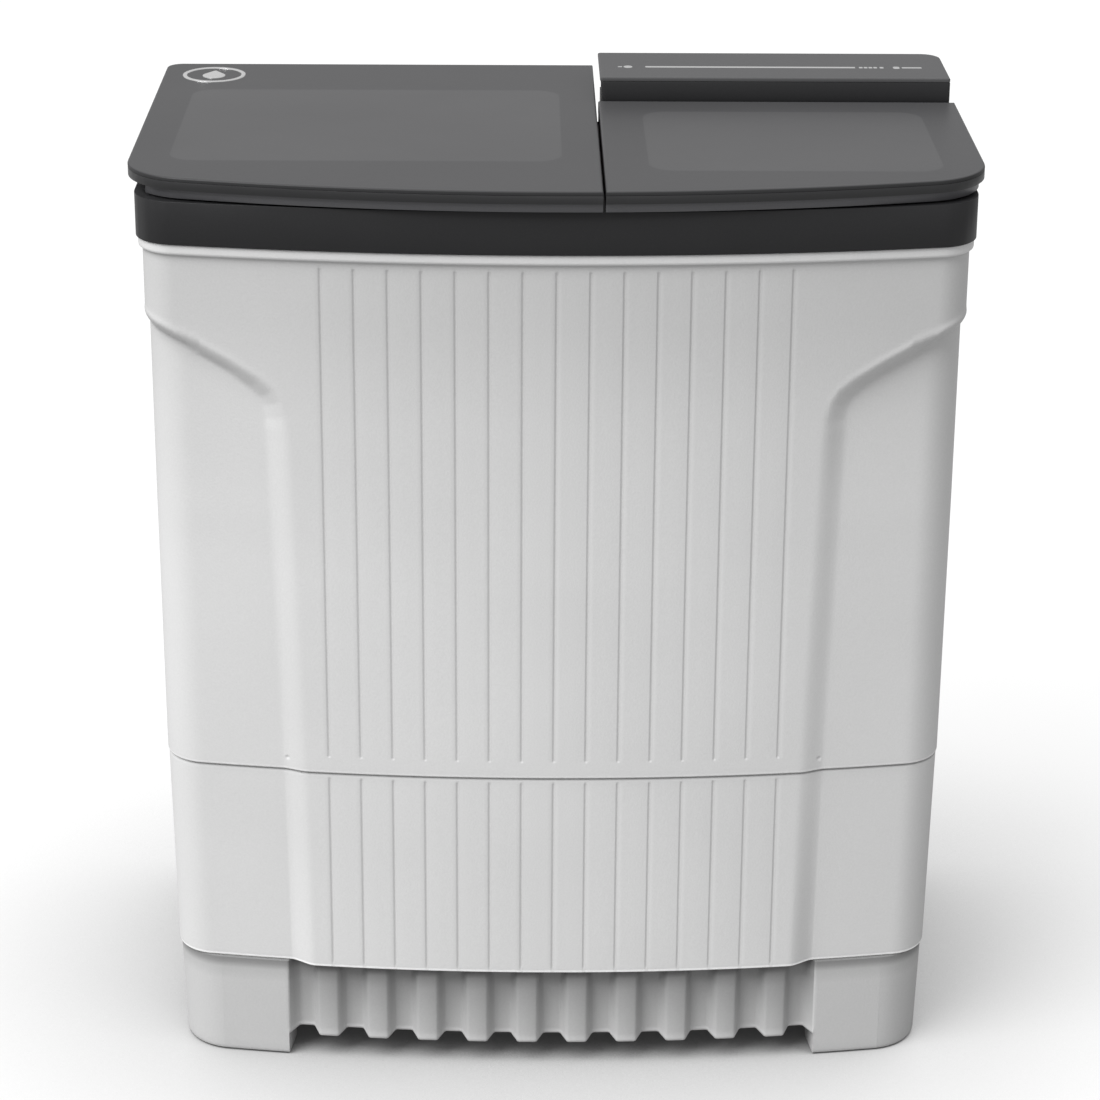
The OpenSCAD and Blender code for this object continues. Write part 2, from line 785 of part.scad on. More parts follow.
module wash_motor_shaft() color("silver") {
    at_motor(255) cylinder(h = pulley_z + pulley_h + 4 - 255, r = wash_shaft_r);
}

module wash_motor_pulley() color("silver") { at_motor(pulley_z) pulley(small_pulley_r, 14, wash_shaft_r); }

module wash_motor_mounts() color("black") {
    for (p = wash_mount_points()) translate([p.x, p.y, platform_z + 78]) cylinder(h = 10, r = 12);
}

module wash_capacitor() color("lightgray") { translate([-300, 100, platform_z]) cylinder(h = 85, r = 22); }

// ---- Lint filter ----

module lint_filter_frame() color("aliceblue") {
    difference() {
        box([filter_x0, tub_y1 - 12, filter_z0], [filter_x1, tub_y1 - 3, filter_z1]);
        box([filter_x0 + 12, tub_y1 - 20, filter_z0 + 14], [filter_x1 - 12, tub_y1, filter_z1 - 34]);
        translate([wash_x, tub_y1, filter_z1 - 17]) rotate([90, 0, 0]) cylinder(h = 20, r = 11);
    }
}

module lint_filter_net() color("lightblue") {
    box([filter_x0 + 12, tub_y1 - 10, filter_z0 + 14], [filter_x1 - 12, tub_y1 - 5, filter_z1 - 34]);
}

// ---- Spin drive ----

module at_spin(z) { translate([spin_x, spin_y, z]) children(); }

module spin_basket() color("silver") {
    hole_z0 = basket_z + 45;
    at_spin(0) {
        difference() {
            rotate_extrude() difference() {
                union() {
                    translate([0, basket_z]) square([basket_r, basket_top - basket_z]);
                }
                polygon([[46, basket_z + 3], [basket_r - basket_t, basket_z + 3],
                    [basket_r - basket_t, basket_top - 16], [balance_r, basket_top - 10],
                    [balance_r, basket_top + 1],
                    [0, basket_top + 1], [0, basket_z + 38], [24, basket_z + 38]]);
            }
            translate([0, 0, basket_z - 1]) cylinder(h = 60, r = spin_shaft_r);
            for (row = [0 : basket_rows - 1], a = [0 : 20 : 340])
                rotate(a + (row % 2) * 10) translate([basket_r - 8, 0, hole_z0 + row * 28]) rotate([0, 90, 0])
                    cylinder(h = 12, r = 3, $fn = 24);
        }
        for (a = [0 : 90 : 270]) rotate(a) box([112, -6, cover_z - 5], [basket_r - 1, 6, cover_z]);
    }
}

module basket_nut() color("dimgray") {
    at_spin(basket_z + 38) difference() {
        cylinder(h = 9, r = 13, $fn = 6);
        translate([0, 0, -1]) cylinder(h = 11, r = spin_shaft_r);
    }
}

module spin_safety_cover() color("#555555") {
    at_spin(cover_z) difference() {
        rotate_extrude() polygon([[0, 0], [balance_r - 3, 0], [balance_r - 3, 12], [balance_r - 6, 12],
            [balance_r - 8, 4], [30, 4], [26, 20], [0, 20]]);
        for (a = [0 : 30 : 330]) rotate(a) translate([72, 0, -1]) cylinder(h = 8, r = 9);
    }
}

module spin_shaft() color("silver") { at_spin(279) cylinder(h = basket_z + 52 - 279, r = spin_shaft_r); }

module spin_seal() color("black") {
    r = spin_shaft_r + run;
    at_spin(spin_floor) rotate_extrude() polygon([[r, -16], [14, -16], [18, -10], [34, -14], [44, -6],
        [47.6, -3], [47.6, 3], [42, 3], [34, -8], [18, -4], [14, 8], [r, 8]]);
}

module brake_drum() color("silver") {
    at_spin(drum_z) rotate_extrude() difference() {
        translate([spin_shaft_r, 0]) square([drum_r - spin_shaft_r, 26]);
        translate([20, -1]) square([drum_r - 26, 19]);
    }
}

module brake_bracket() color("gray") {
    at_spin(0) {
        difference() {
            union() {
                slab(306, 309.5) intersection() {
                    circle(r = 100);
                    polygon([[25, 10], [-5, 30], [-30, 100], [-62, 100], [-50, 10], [-25, -30], [25, -30]]);
                }
                translate([brake_px, brake_py, 306]) cylinder(h = 48, r = 4);
            }
            translate([0, 0, 300]) cylinder(h = 20, r = 16);
        }
    }
}

module brake_lever() color("dimgray") {
    at_spin(0) difference() {
        union() {
            slab(drum_z + 8, drum_z + 14) {
                translate([brake_px, brake_py]) circle(r = 9);
                translate([brake_px, brake_py - 6]) square([100, 12]);
            }
            box([-9, drum_r + 6, drum_z + 4], [9, brake_py - 5, drum_z + 18]);
        }
        translate([brake_px, brake_py, drum_z]) cylinder(h = 40, r = 4 + run);
    }
}

module brake_cable() color("#333333") {
    a = [spin_x + 48, spin_y + brake_py + 8, drum_z + 11];
    route([a, a + [30, 30, 20], [330, 118, 470], [330, 118, 860], [372, 112, 903]], 1.5, 1.15);
}

module spin_motor() color("slategray") {
    at_spin(0) motor_body(spin_motor_r, spin_motor_z, 300, spin_shaft_r);
}

module spin_motor_plate() color("silver") {
    at_spin(0) slab(plate_z, spin_motor_z) {
        circle(r = 70);
        for (a = [30 : 120 : 270]) rotate(a) translate([68, 0]) circle(r = 22);
    }
}

// Coil spring swept along a helix
module coil(r, wire, z0, z1, turns) {
    steps = 20 * turns;
    sides = 6;
    rings = [for (i = [0 : steps]) [for (j = [0 : sides - 1])
        let (t = 360 * turns * i / steps, u = 360 * j / sides, rr = r + wire * cos(u))
        [rr * cos(t), rr * sin(t), z0 + wire + (z1 - z0 - 2 * wire) * i / steps + wire * sin(u)]]];
    points = [for (ring = rings) for (p = ring) p];
    skin = [for (i = [0 : steps - 1], j = [0 : sides - 1]) let (k = (j + 1) % sides)
        [i * sides + j, i * sides + k, (i + 1) * sides + k, (i + 1) * sides + j]];
    polyhedron(points, concat([for (f = skin) [f[0], f[3], f[2], f[1]]], [[for (j = [0 : sides - 1]) j]],
        [[for (j = [sides - 1 : -1 : 0]) steps * sides + j]]), convexity = 10);
}

module spin_motor_springs() color("silver") {
    for (p = spring_points()) translate([p.x, p.y, 0]) coil(spring_r, 2.5, spring_z, plate_z, 6);
}

module spin_capacitor() color("lightgray") { translate([345, 130, platform_z]) cylinder(h = 70, r = 18); }

// ---- Water ----

module at_valve(z) { translate([valve_x, valve_y, z]) children(); }

module drain_valve_body() color("gray") {
    at_valve(0) difference() {
        union() {
            translate([0, 0, 340]) cylinder(h = wash_floor - wall - 340, r = valve_r);
            translate([0, 0, 328]) cylinder(h = 13, r = 17);
        }
        translate([0, 0, 346]) cylinder(h = 44, r = 21);
        translate([0, 0, 389]) cylinder(h = 20, r = 14);
        translate([0, 0, 320]) cylinder(h = 40, r = 11);
        translate([-50, -4, 347]) cube([50, 8, 12]);
    }
}

module drain_valve_plug() color("firebrick") {
    at_valve(346) {
        cylinder(h = 6, r = 17);
        cylinder(h = 20, r = 5);
        translate([-51, -3, 2]) cube([51, 6, 3]);
    }
}

module drain_valve_spring() color("silver") { at_valve(0) coil(15.5, 1.2, 352, 390, 5); }

module drain_actuator() color("#dddddd") {
    box([valve_x - 96, valve_y - 22, 340], [valve_x - 52, valve_y + 22, 383]);
    box([valve_x - 96, valve_y - 22, 382], [valve_x - 86, valve_y + 22, wash_floor - wall]);
}

module drain_pipe() color("#777777") {
    start = [valve_x, valve_y, 328];
    turn = [valve_x, valve_y, outlet_z];
    end = [valve_x, lid_back - 1, outlet_z];
    difference() {
        union() {
            route([start, turn, end], outlet_r);
            rod([valve_x, base_back + 1, outlet_z], end, spigot_r);
        }
        route([start + [0, 0, 1], turn, end + [0, 1, 0]], outlet_bore);
        rod([valve_x + outlet_r + 20, hose_join_y, outlet_z], [valve_x, hose_join_y, outlet_z], hose_r + gap);
    }
}

module spin_drain_hose() color("#777777") {
    difference() {
        route([[hose_x, hose_y, spin_floor - wall - gap], [hose_x, hose_y, outlet_z],
            [hose_x, hose_join_y, outlet_z], [valve_x + outlet_r - 2.5, hose_join_y, outlet_z]], hose_r);
        translate([hose_x, hose_y, spin_floor - 18]) cylinder(h = 30, r = hose_r - 2.4);
    }
}

module water_inlet_pipe() color("#777777") {
    top = [inlet_x, inlet_y, lid_top + 8];
    difference() {
        union() {
            route([top, [inlet_x, inlet_y, inlet_run_z], [-20, inlet_y, inlet_run_z],
                [-20, tub_y1 - 1, inlet_run_z]], inlet_r);
            translate([inlet_x, inlet_y, deck_z]) cylinder(h = 3, r = 12);
        }
        route([top + [0, 0, 1], [inlet_x, inlet_y, inlet_run_z], [-20, inlet_y, inlet_run_z],
            [-20, tub_y1 - 2, inlet_run_z]], 5.5);
    }
}

module cord_gland() color("black") {
    translate([gland_x, body_back - 8, gland_z]) rotate([-90, 0, 0]) difference() {
        union() {
            cylinder(h = 12, r = 8.7);
            translate([0, 0, 10]) cylinder(h = 6, r = 13);
        }
        translate([0, 0, -1]) cylinder(h = 20, r = gland_bore);
    }
}

base();
foot_pads();
cabinet();
back_cover();
back_cover_screws();
top_frame();
top_frame_screws();
lid_buffers();
wash_tub();
spin_tub();
wash_lid_frame();
wash_lid_glass();
wash_lid_hinge_pins();
lid_badge();
spin_lid_frame();
spin_lid_glass();
spin_lid_hinge_pins();
panel_housing();
panel_glass();
control_board();
display_board();
pulsator();
pulsator_cap();
pulsator_screw();
pulsator_shaft();
pulsator_seal();
gearbox();
gearbox_plate();
gearbox_bolts();
gearbox_pulley();
pulley_nut();
drive_belt();
wash_motor();
wash_motor_shaft();
wash_motor_pulley();
wash_motor_mounts();
wash_capacitor();
lint_filter_frame();
lint_filter_net();
spin_basket();
basket_nut();
spin_safety_cover();
spin_shaft();
spin_seal();
brake_drum();
brake_bracket();
brake_lever();
brake_cable();
spin_motor();
spin_motor_plate();
spin_motor_springs();
spin_capacitor();
drain_valve_body();
drain_valve_plug();
drain_valve_spring();
drain_actuator();
drain_pipe();
spin_drain_hose();
water_inlet_pipe();
cord_gland();
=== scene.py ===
"""Twin tub washer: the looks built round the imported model, in the frame's own axes.

The machine's front is at negative y and its left at negative x. Points are written in millimetres and become
metres as each mesh is made.
"""
import json
import math

import bmesh
import bpy
import numpy as np
from mathutils import Matrix, Vector


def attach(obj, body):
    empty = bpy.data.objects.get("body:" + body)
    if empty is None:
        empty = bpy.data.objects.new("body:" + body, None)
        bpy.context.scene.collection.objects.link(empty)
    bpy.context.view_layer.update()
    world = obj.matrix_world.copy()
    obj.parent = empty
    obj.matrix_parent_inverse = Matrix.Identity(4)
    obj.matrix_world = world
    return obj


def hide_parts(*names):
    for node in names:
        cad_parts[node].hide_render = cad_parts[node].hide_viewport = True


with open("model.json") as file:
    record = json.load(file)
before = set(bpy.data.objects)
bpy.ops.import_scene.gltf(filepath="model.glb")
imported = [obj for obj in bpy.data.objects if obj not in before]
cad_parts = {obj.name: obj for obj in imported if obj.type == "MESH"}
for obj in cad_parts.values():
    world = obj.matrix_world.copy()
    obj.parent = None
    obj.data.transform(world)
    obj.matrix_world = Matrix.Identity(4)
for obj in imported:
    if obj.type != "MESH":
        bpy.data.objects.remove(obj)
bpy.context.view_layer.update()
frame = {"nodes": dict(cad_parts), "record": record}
nodes = frame["nodes"]

MM = 0.001
FRONT_BOW = 2100.0        # radius of the bowed front
FRONT_ZONE = -150.0       # what lies in front of this y belongs to the front
BASE_TOP = 110.0          # the cabinet stands on the base here
BELT = 330.0              # line across the cabinet where its lower part steps in
DIMPLE = (266.0, 343.0)   # small pit beside the grooves, as x and z
GLASS_TOP = 938.0
PANEL_TOP = 961.0

GROOVE_PITCH = 32.0
GROOVE_ZONE = 228.0       # half the width that the grooves take up
GROOVE_GAP = (323.5, 349.1)
GROOVE_TOP = 855.0
GROOVES = [GROOVE_PITCH * k for k in range(8)]
GROOVE_SHAPE = [(-2.0, 0.0), (-1.1, 0.65), (-0.1, 0.95), (0.9, 0.7), (2.0, 0.0)]


# ---- Camera, light and floor ----

def add_camera():
    """Camera in front of the machine, a little above it."""
    yaw, pitch, roll = -0.0101, 0.3735, 0.0063
    ahead = Vector((-math.sin(yaw) * math.cos(pitch),
                    math.cos(yaw) * math.cos(pitch),
                    -math.sin(pitch)))
    flat_right = Vector((math.cos(yaw), math.sin(yaw), 0.0))
    flat_up = flat_right.cross(ahead)
    right = math.cos(roll) * flat_right + math.sin(roll) * flat_up
    up = math.cos(roll) * flat_up - math.sin(roll) * flat_right
    data = bpy.data.cameras.new("camera")
    data.sensor_width = 36.0
    data.lens = 109.68
    data.clip_start = 0.05
    data.clip_end = 60.0
    camera = bpy.data.objects.new("camera", data)
    bpy.context.scene.collection.objects.link(camera)
    turn = Matrix((right, up, -ahead)).transposed().to_4x4()
    camera.matrix_world = Matrix.Translation((-0.0356, -3.2648, 1.7613)) @ turn
    bpy.context.scene.camera = camera


def add_sun(name, direction, strength, angle):
    """Wide soft light that comes from one direction."""
    data = bpy.data.lights.new(name, "SUN")
    data.energy = strength
    data.angle = math.radians(angle)
    lamp = bpy.data.objects.new(name, data)
    bpy.context.scene.collection.objects.link(lamp)
    lamp.rotation_mode = "QUATERNION"
    lamp.rotation_quaternion = Vector(direction).to_track_quat("Z", "Y")


def add_light():
    """Even pale surroundings and a soft key light from the upper left."""
    scene = bpy.context.scene
    world = bpy.data.worlds.new("pale_surroundings")
    world.use_nodes = True
    back = world.node_tree.nodes["Background"]
    back.inputs["Color"].default_value = grey(1.0)
    back.inputs["Strength"].default_value = 0.58
    scene.world = world
    scene.view_settings.view_transform = "Standard"
    scene.view_settings.look = "None"
    add_sun("key_light", (-0.51, -0.40, 0.80), strength=4.1, angle=40.0)


def add_floor():
    """Plain pale floor that glows as painted light, with a painted shadow where the glow fades close to the
    machine. It throws little light back on it.
    """
    painted_glow_share = 0.76
    finish = material("pale_floor", (0.68, 0.68, 0.68), 0.85, vary=0.01)
    tree = finish.node_tree
    # Painted light: the floor glows, less close to the machine, which paints a soft shadow round it.
    nearby = tree.nodes.new("ShaderNodeAmbientOcclusion")
    nearby.inputs["Distance"].default_value = 0.40
    nearby.samples = 8
    painted_glow = tree.nodes.new("ShaderNodeEmission")
    painted_shadow_tone = grey_ramp(tree, nearby.outputs["AO"], (0.22, 0.02), (0.52, 0.52), (1.0, 1.06))
    tree.links.new(painted_shadow_tone, painted_glow.inputs["Color"])
    seen = tree.nodes.new("ShaderNodeMixShader")
    seen.inputs["Fac"].default_value = painted_glow_share
    tree.links.new(tree.nodes["Principled BSDF"].outputs["BSDF"], seen.inputs[1])
    tree.links.new(painted_glow.outputs["Emission"], seen.inputs[2])
    dim = tree.nodes.new("ShaderNodeBsdfDiffuse")
    dim.inputs["Color"].default_value = grey(0.36)
    path = tree.nodes.new("ShaderNodeLightPath")
    pick = tree.nodes.new("ShaderNodeMixShader")
    tree.links.new(path.outputs["Is Camera Ray"], pick.inputs["Fac"])
    tree.links.new(dim.outputs["BSDF"], pick.inputs[1])
    tree.links.new(seen.outputs["Shader"], pick.inputs[2])
    tree.links.new(pick.outputs["Shader"], tree.nodes["Material Output"].inputs["Surface"])
    reach = 30000
    corners = [(-reach, -reach, 0), (reach, -reach, 0), (reach, reach, 0), (-reach, reach, 0)]
    add_object("floor", corners, [(0, 1, 2, 3)], finish)


# ---- Shader helpers ----

def grey(value):
    """Neutral colour of one brightness."""
    return (value, value, value, 1.0)


def math_node(tree, kind, first, second=None):
    """One Math node; numbers are set on its sockets and outputs are linked to them."""
    node = tree.nodes.new("ShaderNodeMath")
    node.operation = kind
    for socket, value in zip(node.inputs, (first, second)):
        if isinstance(value, float):
            socket.default_value = value
        elif value is not None:
            tree.links.new(value, socket)
    return node.outputs["Value"]


def map_range(tree, source, from_range, to_range=(0.0, 1.0)):
    """Stretches a value from one range to another, and clamps it there."""
    node = tree.nodes.new("ShaderNodeMapRange")
    node.inputs["From Min"].default_value = from_range[0]
    node.inputs["From Max"].default_value = from_range[1]
    node.inputs["To Min"].default_value = to_range[0]
    node.inputs["To Max"].default_value = to_range[1]
    tree.links.new(source, node.inputs["Value"])
    return node.outputs["Result"]


def grey_ramp(tree, source, *stops):
    """Turns a value from 0 to 1 into a grey, with stops of (value, grey)."""
    ramp = tree.nodes.new("ShaderNodeValToRGB")
    steps = ramp.color_ramp.elements
    while len(steps) < len(stops):
        steps.new(0.5)
    for step, (position, brightness) in zip(steps, stops):
        step.position = position
        step.color = grey(brightness)
    tree.links.new(source, ramp.inputs["Fac"])
    return ramp.outputs["Color"]


def place_outputs(tree):
    """Outputs X, Y and Z, the place of each point on the object in metres."""
    place = tree.nodes.new("ShaderNodeTexCoord")
    split = tree.nodes.new("ShaderNodeSeparateXYZ")
    tree.links.new(place.outputs["Object"], split.inputs["Vector"])
    return split.outputs


def multiply_colour(tree, factor):
    """Multiplies the base colour that a material already has by a colour output."""
    target = tree.nodes["Principled BSDF"].inputs["Base Color"]
    product = tree.nodes.new("ShaderNodeVectorMath")
    product.operation = "MULTIPLY"
    tree.links.new(target.links[0].from_socket, product.inputs[0])
    tree.links.new(factor, product.inputs[1])
    tree.links.new(product.outputs["Vector"], target)


def darken(tree, share, factor):
    """Darkens the base colour by factor where share is 1."""
    multiply_colour(tree, grey_ramp(tree, share, (0.0, 1.0), (1.0, factor)))


def paint_light_by_height(made, *stops):
    """Paints light or shade into a material's colour by height, with stops of (z in mm, factor)."""
    tree = made.node_tree
    low, high = stops[0][0], stops[-1][0]
    share = map_range(tree, place_outputs(tree)["Z"], (low * MM, high * MM))
    steps = [((height - low) / (high - low), factor) for height, factor in stops]
    multiply_colour(tree, grey_ramp(tree, share, *steps))


# ---- Materials ----

CLOUD_SCALE = 5.0         # size of the slow drift in colour and roughness
GRAIN_SCALE = 650.0
GRAIN_HEIGHT = 0.0004
ROUGH_DRIFT = 0.06


def material(name, colour, rough, metallic=0.0, vary=0.04, grain=0.0, grain_size=1.0, specular=0.5,
             scratches=False):
    """Solid material: colour and roughness that drift a little, and a fine grain or upright scratches."""
    made = bpy.data.materials.new(name)
    made.use_nodes = True
    tree = made.node_tree
    shader = tree.nodes["Principled BSDF"]
    shader.inputs["Metallic"].default_value = metallic
    shader.inputs["Specular IOR Level"].default_value = specular
    place = tree.nodes.new("ShaderNodeTexCoord").outputs["Object"]

    cloud = tree.nodes.new("ShaderNodeTexNoise")
    cloud.inputs["Scale"].default_value = CLOUD_SCALE
    cloud.inputs["Detail"].default_value = 5.0
    tree.links.new(place, cloud.inputs["Vector"])

    fine = tree.nodes.new("ShaderNodeTexNoise")
    fine.inputs["Scale"].default_value = GRAIN_SCALE / grain_size
    fine.inputs["Detail"].default_value = 2.0
    if scratches:
        stretch = tree.nodes.new("ShaderNodeMapping")
        stretch.inputs["Scale"].default_value = (1.0, 1.0, 0.04)
        tree.links.new(place, stretch.inputs["Vector"])
        tree.links.new(stretch.outputs["Vector"], fine.inputs["Vector"])
    else:
        tree.links.new(place, fine.inputs["Vector"])

    blend = tree.nodes.new("ShaderNodeMix")
    blend.data_type = "FLOAT"
    blend.inputs["Factor"].default_value = 0.5
    tree.links.new(cloud.outputs["Fac"], blend.inputs["A"])
    tree.links.new(fine.outputs["Fac"], blend.inputs["B"])

    tint = tree.nodes.new("ShaderNodeValToRGB")
    dark, light = tint.color_ramp.elements
    dark.position = 0.3
    dark.color = [c * (1.0 - vary) for c in colour] + [1.0]
    light.position = 0.7
    light.color = [c * (1.0 + vary) for c in colour] + [1.0]
    tree.links.new(blend.outputs["Result"], tint.inputs["Fac"])
    tree.links.new(tint.outputs["Color"], shader.inputs["Base Color"])

    spread = map_range(tree, cloud.outputs["Fac"], (0.0, 1.0), (rough - ROUGH_DRIFT, rough + ROUGH_DRIFT))
    tree.links.new(spread, shader.inputs["Roughness"])

    if grain:
        bump = tree.nodes.new("ShaderNodeBump")
        bump.inputs["Strength"].default_value = grain
        bump.inputs["Distance"].default_value = GRAIN_HEIGHT
        tree.links.new(fine.outputs["Fac"], bump.inputs["Height"])
        tree.links.new(bump.outputs["Normal"], shader.inputs["Normal"])
    return made


def paint_skirt_shade(made):
    """Darkens the front skirt between the two front feet, most at its top, as painted shade under the
    cabinet's overhang.
    """
    tree = made.node_tree
    place = place_outputs(tree)
    between = math_node(tree, "LESS_THAN", math_node(tree, "ABSOLUTE", place["X"]), 270.5 * MM)
    front = math_node(tree, "LESS_THAN", place["Y"], FRONT_ZONE * MM)
    rise = map_range(tree, place["Z"], (30.0 * MM, 100.0 * MM), (0.25, 1.0))
    share = math_node(tree, "MULTIPLY", between, front)
    darken(tree, math_node(tree, "MULTIPLY", share, rise), 0.52)


def paint_groove_shade(made):
    """Darkens the vertical grooves of the front a little, as painted shade in the creases."""
    tree = made.node_tree
    place = place_outputs(tree)
    gap_middle = sum(GROOVE_GAP) / 2 * MM
    gap_half = (GROOVE_GAP[1] - GROOVE_GAP[0]) / 2 * MM
    from_groove = math_node(tree, "PINGPONG", place["X"], GROOVE_PITCH / 2 * MM)
    share = map_range(tree, from_groove, (2.5 * MM, 1.2 * MM))
    from_middle = math_node(tree, "ABSOLUTE", place["X"])
    from_gap = math_node(tree, "ABSOLUTE", math_node(tree, "SUBTRACT", place["Z"], gap_middle))
    for kind, source, limit in (("LESS_THAN", from_middle, GROOVE_ZONE * MM),
                                ("LESS_THAN", place["Y"], FRONT_ZONE * MM),
                                ("GREATER_THAN", from_gap, gap_half),
                                ("LESS_THAN", place["Z"], GROOVE_TOP * MM)):
        share = math_node(tree, "MULTIPLY", share, math_node(tree, kind, source, limit))
    darken(tree, share, 0.88)


def window_glass(name, left, front, right, back):
    """Dark satin glass whose printed border leaves a slightly lighter window with round corners."""
    made = material(name, (0.0575, 0.0575, 0.0595), 0.40, vary=0.05, specular=0.15)
    radius = 25.0 * MM
    soft_edge = 0.6 * MM
    tree = made.node_tree
    shader = tree.nodes["Principled BSDF"]
    border = shader.inputs["Base Color"].links[0].from_socket
    place = place_outputs(tree)

    def past_edge(source, low, high):
        away = math_node(tree, "ABSOLUTE", math_node(tree, "SUBTRACT", source, (low + high) / 2 * MM))
        past = math_node(tree, "SUBTRACT", away, (high - low) / 2 * MM - radius)
        return math_node(tree, "MAXIMUM", past, 0.0)

    past_x = past_edge(place["X"], left, right)
    past_y = past_edge(place["Y"], front, back)
    squares = math_node(tree, "ADD", math_node(tree, "MULTIPLY", past_x, past_x),
                        math_node(tree, "MULTIPLY", past_y, past_y))
    distance = math_node(tree, "SUBTRACT", math_node(tree, "SQRT", squares), radius)
    inside = map_range(tree, distance, (-soft_edge, soft_edge), (1.0, 0.0))
    mixed = tree.nodes.new("ShaderNodeMix")
    mixed.data_type = "RGBA"
    colours = {socket.name: socket for socket in mixed.inputs if socket.type == "RGBA"}
    tree.links.new(border, colours["A"])
    colours["B"].default_value = (0.0715, 0.0715, 0.0735, 1.0)
    tree.links.new(inside, mixed.inputs["Factor"])
    result = [socket for socket in mixed.outputs if socket.type == "RGBA"][0]
    tree.links.new(result, shader.inputs["Base Color"])
    return made


WHITE = material("white_shell", (0.58, 0.58, 0.58), 0.50, vary=0.045, grain=0.35, grain_size=1.3)
# Painted highlight on the lower rim.
paint_light_by_height(WHITE, (109.9, 1.9), (111.9, 1.8), (114.0, 1.0))
# Painted shadow line in the belt's step, and painted highlight on its edge above.
paint_light_by_height(WHITE, (326.6, 1.0), (327.9, 0.74), (329.9, 0.74), (330.2, 1.45), (331.5, 1.35), (333.4, 1.0))
# Painted shade, darker towards the top under the lids' overhang.
paint_light_by_height(WHITE, (330.0, 0.99), (550.0, 0.995), (700.0, 0.93), (800.0, 0.835), (858.0, 0.82))
# Painted highlight on the lip under the dark band, with a thin painted shade line just below it.
paint_light_by_height(WHITE, (859.0, 1.0), (861.6, 0.92), (862.8, 1.28), (870.4, 1.24), (871.6, 1.55))
# Painted shade in the grooves.
paint_groove_shade(WHITE)

# Painted shade: the base is the cabinet's white made darker, for the light that the overhanging cabinet
# keeps off it.
BASE_WHITE_SHADED = material("base_white_painted_shade", (0.46, 0.46, 0.46), 0.50, vary=0.045, grain=0.35, grain_size=1.3)
# Shadow under the cabinet's edge.
paint_light_by_height(BASE_WHITE_SHADED, (84.0, 1.0), (98.0, 0.84), (104.0, 0.50), (110.0, 0.34))
# Painted shade on the skirt under the cabinet's overhang.
paint_skirt_shade(BASE_WHITE_SHADED)

TRIM = material("dark_trim", (0.017, 0.017, 0.018), 0.40, vary=0.10, grain=0.10, specular=0.26)
LID = material("lid_frame", (0.030, 0.030, 0.032), 0.34, vary=0.08, grain=0.05)
# Painted highlight on the lower layer and painted shade on the upper layer of the lids' edges.
paint_light_by_height(LID, (917.0, 2.2), (921.5, 2.9), (925.6, 2.0), (926.1, 0.4), (930.0, 0.45), (934.0, 0.55))
WASH_GLASS = window_glass("wash_lid_glass_finish", -372, -146, 5, 140)
SPIN_GLASS = window_glass("spin_lid_glass_finish", 88, -178, 369, 52)
for lid_glass in (WASH_GLASS, SPIN_GLASS):
    # Painted shade on the sides of the panes.
    paint_light_by_height(lid_glass, (934.0, 0.45), (937.2, 0.50), (937.8, 1.0))
PANEL_GLASS = material("panel_glass_finish", (0.068, 0.068, 0.070), 0.40, vary=0.05, specular=0.15)
MARKS = material("panel_marks", (0.33, 0.33, 0.33), 0.45, vary=0.05)
BADGE = material("badge", (0.80, 0.80, 0.80), 0.24, metallic=0.85, scratches=True, grain=0.05)

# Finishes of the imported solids, by the record's material slots.
SLOT_FINISH = {
    "white_shell": WHITE,
    "dark_trim": TRIM,
    "lid_frame": LID,
    "smoked_glass": WASH_GLASS,
    "badge": BADGE,
    "tub_plastic": material("tub_plastic", (0.60, 0.64, 0.68), 0.32, vary=0.03, grain=0.05),
    "rubber": material("rubber", (0.016, 0.016, 0.016), 0.75, vary=0.15, grain=0.25, grain_size=2.0),
    "cover_steel": material("cover_steel", (0.55, 0.56, 0.57), 0.42, metallic=0.55, vary=0.05, grain=0.12),
    "screws": material("screws", (0.62, 0.62, 0.60), 0.30, metallic=1.0, vary=0.08),
    "circuit_board": material("circuit_board", (0.02, 0.16, 0.07), 0.45, vary=0.12),
    "pulsator_plastic": material("pulsator_plastic", (0.42, 0.55, 0.70), 0.28, grain=0.04),
    "shaft_steel": material("shaft_steel", (0.60, 0.60, 0.60), 0.22, metallic=1.0, vary=0.06,
                            scratches=True, grain=0.05),
    "cast_alloy": material("cast_alloy", (0.42, 0.43, 0.44), 0.50, metallic=0.8, vary=0.10, grain=0.4,
                           grain_size=2.5),
    "plated_steel": material("plated_steel", (0.58, 0.58, 0.54), 0.34, metallic=1.0, vary=0.08, grain=0.08),
    "capacitor_can": material("capacitor_can", (0.70, 0.71, 0.72), 0.30, metallic=0.9),
    "filter_plastic": material("filter_plastic", (0.72, 0.76, 0.80), 0.34, vary=0.03, grain=0.05),
    "filter_net": material("filter_net", (0.55, 0.62, 0.70), 0.60, vary=0.30, grain=0.6, grain_size=2.2),
    "basket_plastic": material("basket_plastic", (0.66, 0.68, 0.70), 0.28, vary=0.03, grain=0.04),
    "cover_plastic": material("cover_plastic", (0.10, 0.11, 0.12), 0.38, vary=0.06, grain=0.08),
    "cable_black": material("cable_black", (0.02, 0.02, 0.02), 0.55, vary=0.12, grain=0.2),
    "grey_plastic": material("grey_plastic", (0.20, 0.205, 0.21), 0.45, vary=0.06, grain=0.12),
}

ROUNDED_NODES = ("top_frame", "wash_lid_frame", "spin_lid_frame")


def finish_cad_nodes():
    """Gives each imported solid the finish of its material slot, and rounds the edges that show."""
    for part in frame["record"]["subparts"]:
        shown = nodes[part["node"]]
        shown.data.materials.clear()
        shown.data.materials.append(SLOT_FINISH[part["material_slot"]])
    for name in ROUNDED_NODES:
        weld = nodes[name].modifiers.new("weld", "WELD")
        weld.merge_threshold = 0.02 * MM
        bevel = nodes[name].modifiers.new("round_edges", "BEVEL")
        bevel.width = 1.2 * MM
        bevel.segments = 2
        bevel.limit_method = "ANGLE"
        bevel.angle_limit = math.radians(50.0)
        bevel.harden_normals = True


# ---- Mesh helpers ----

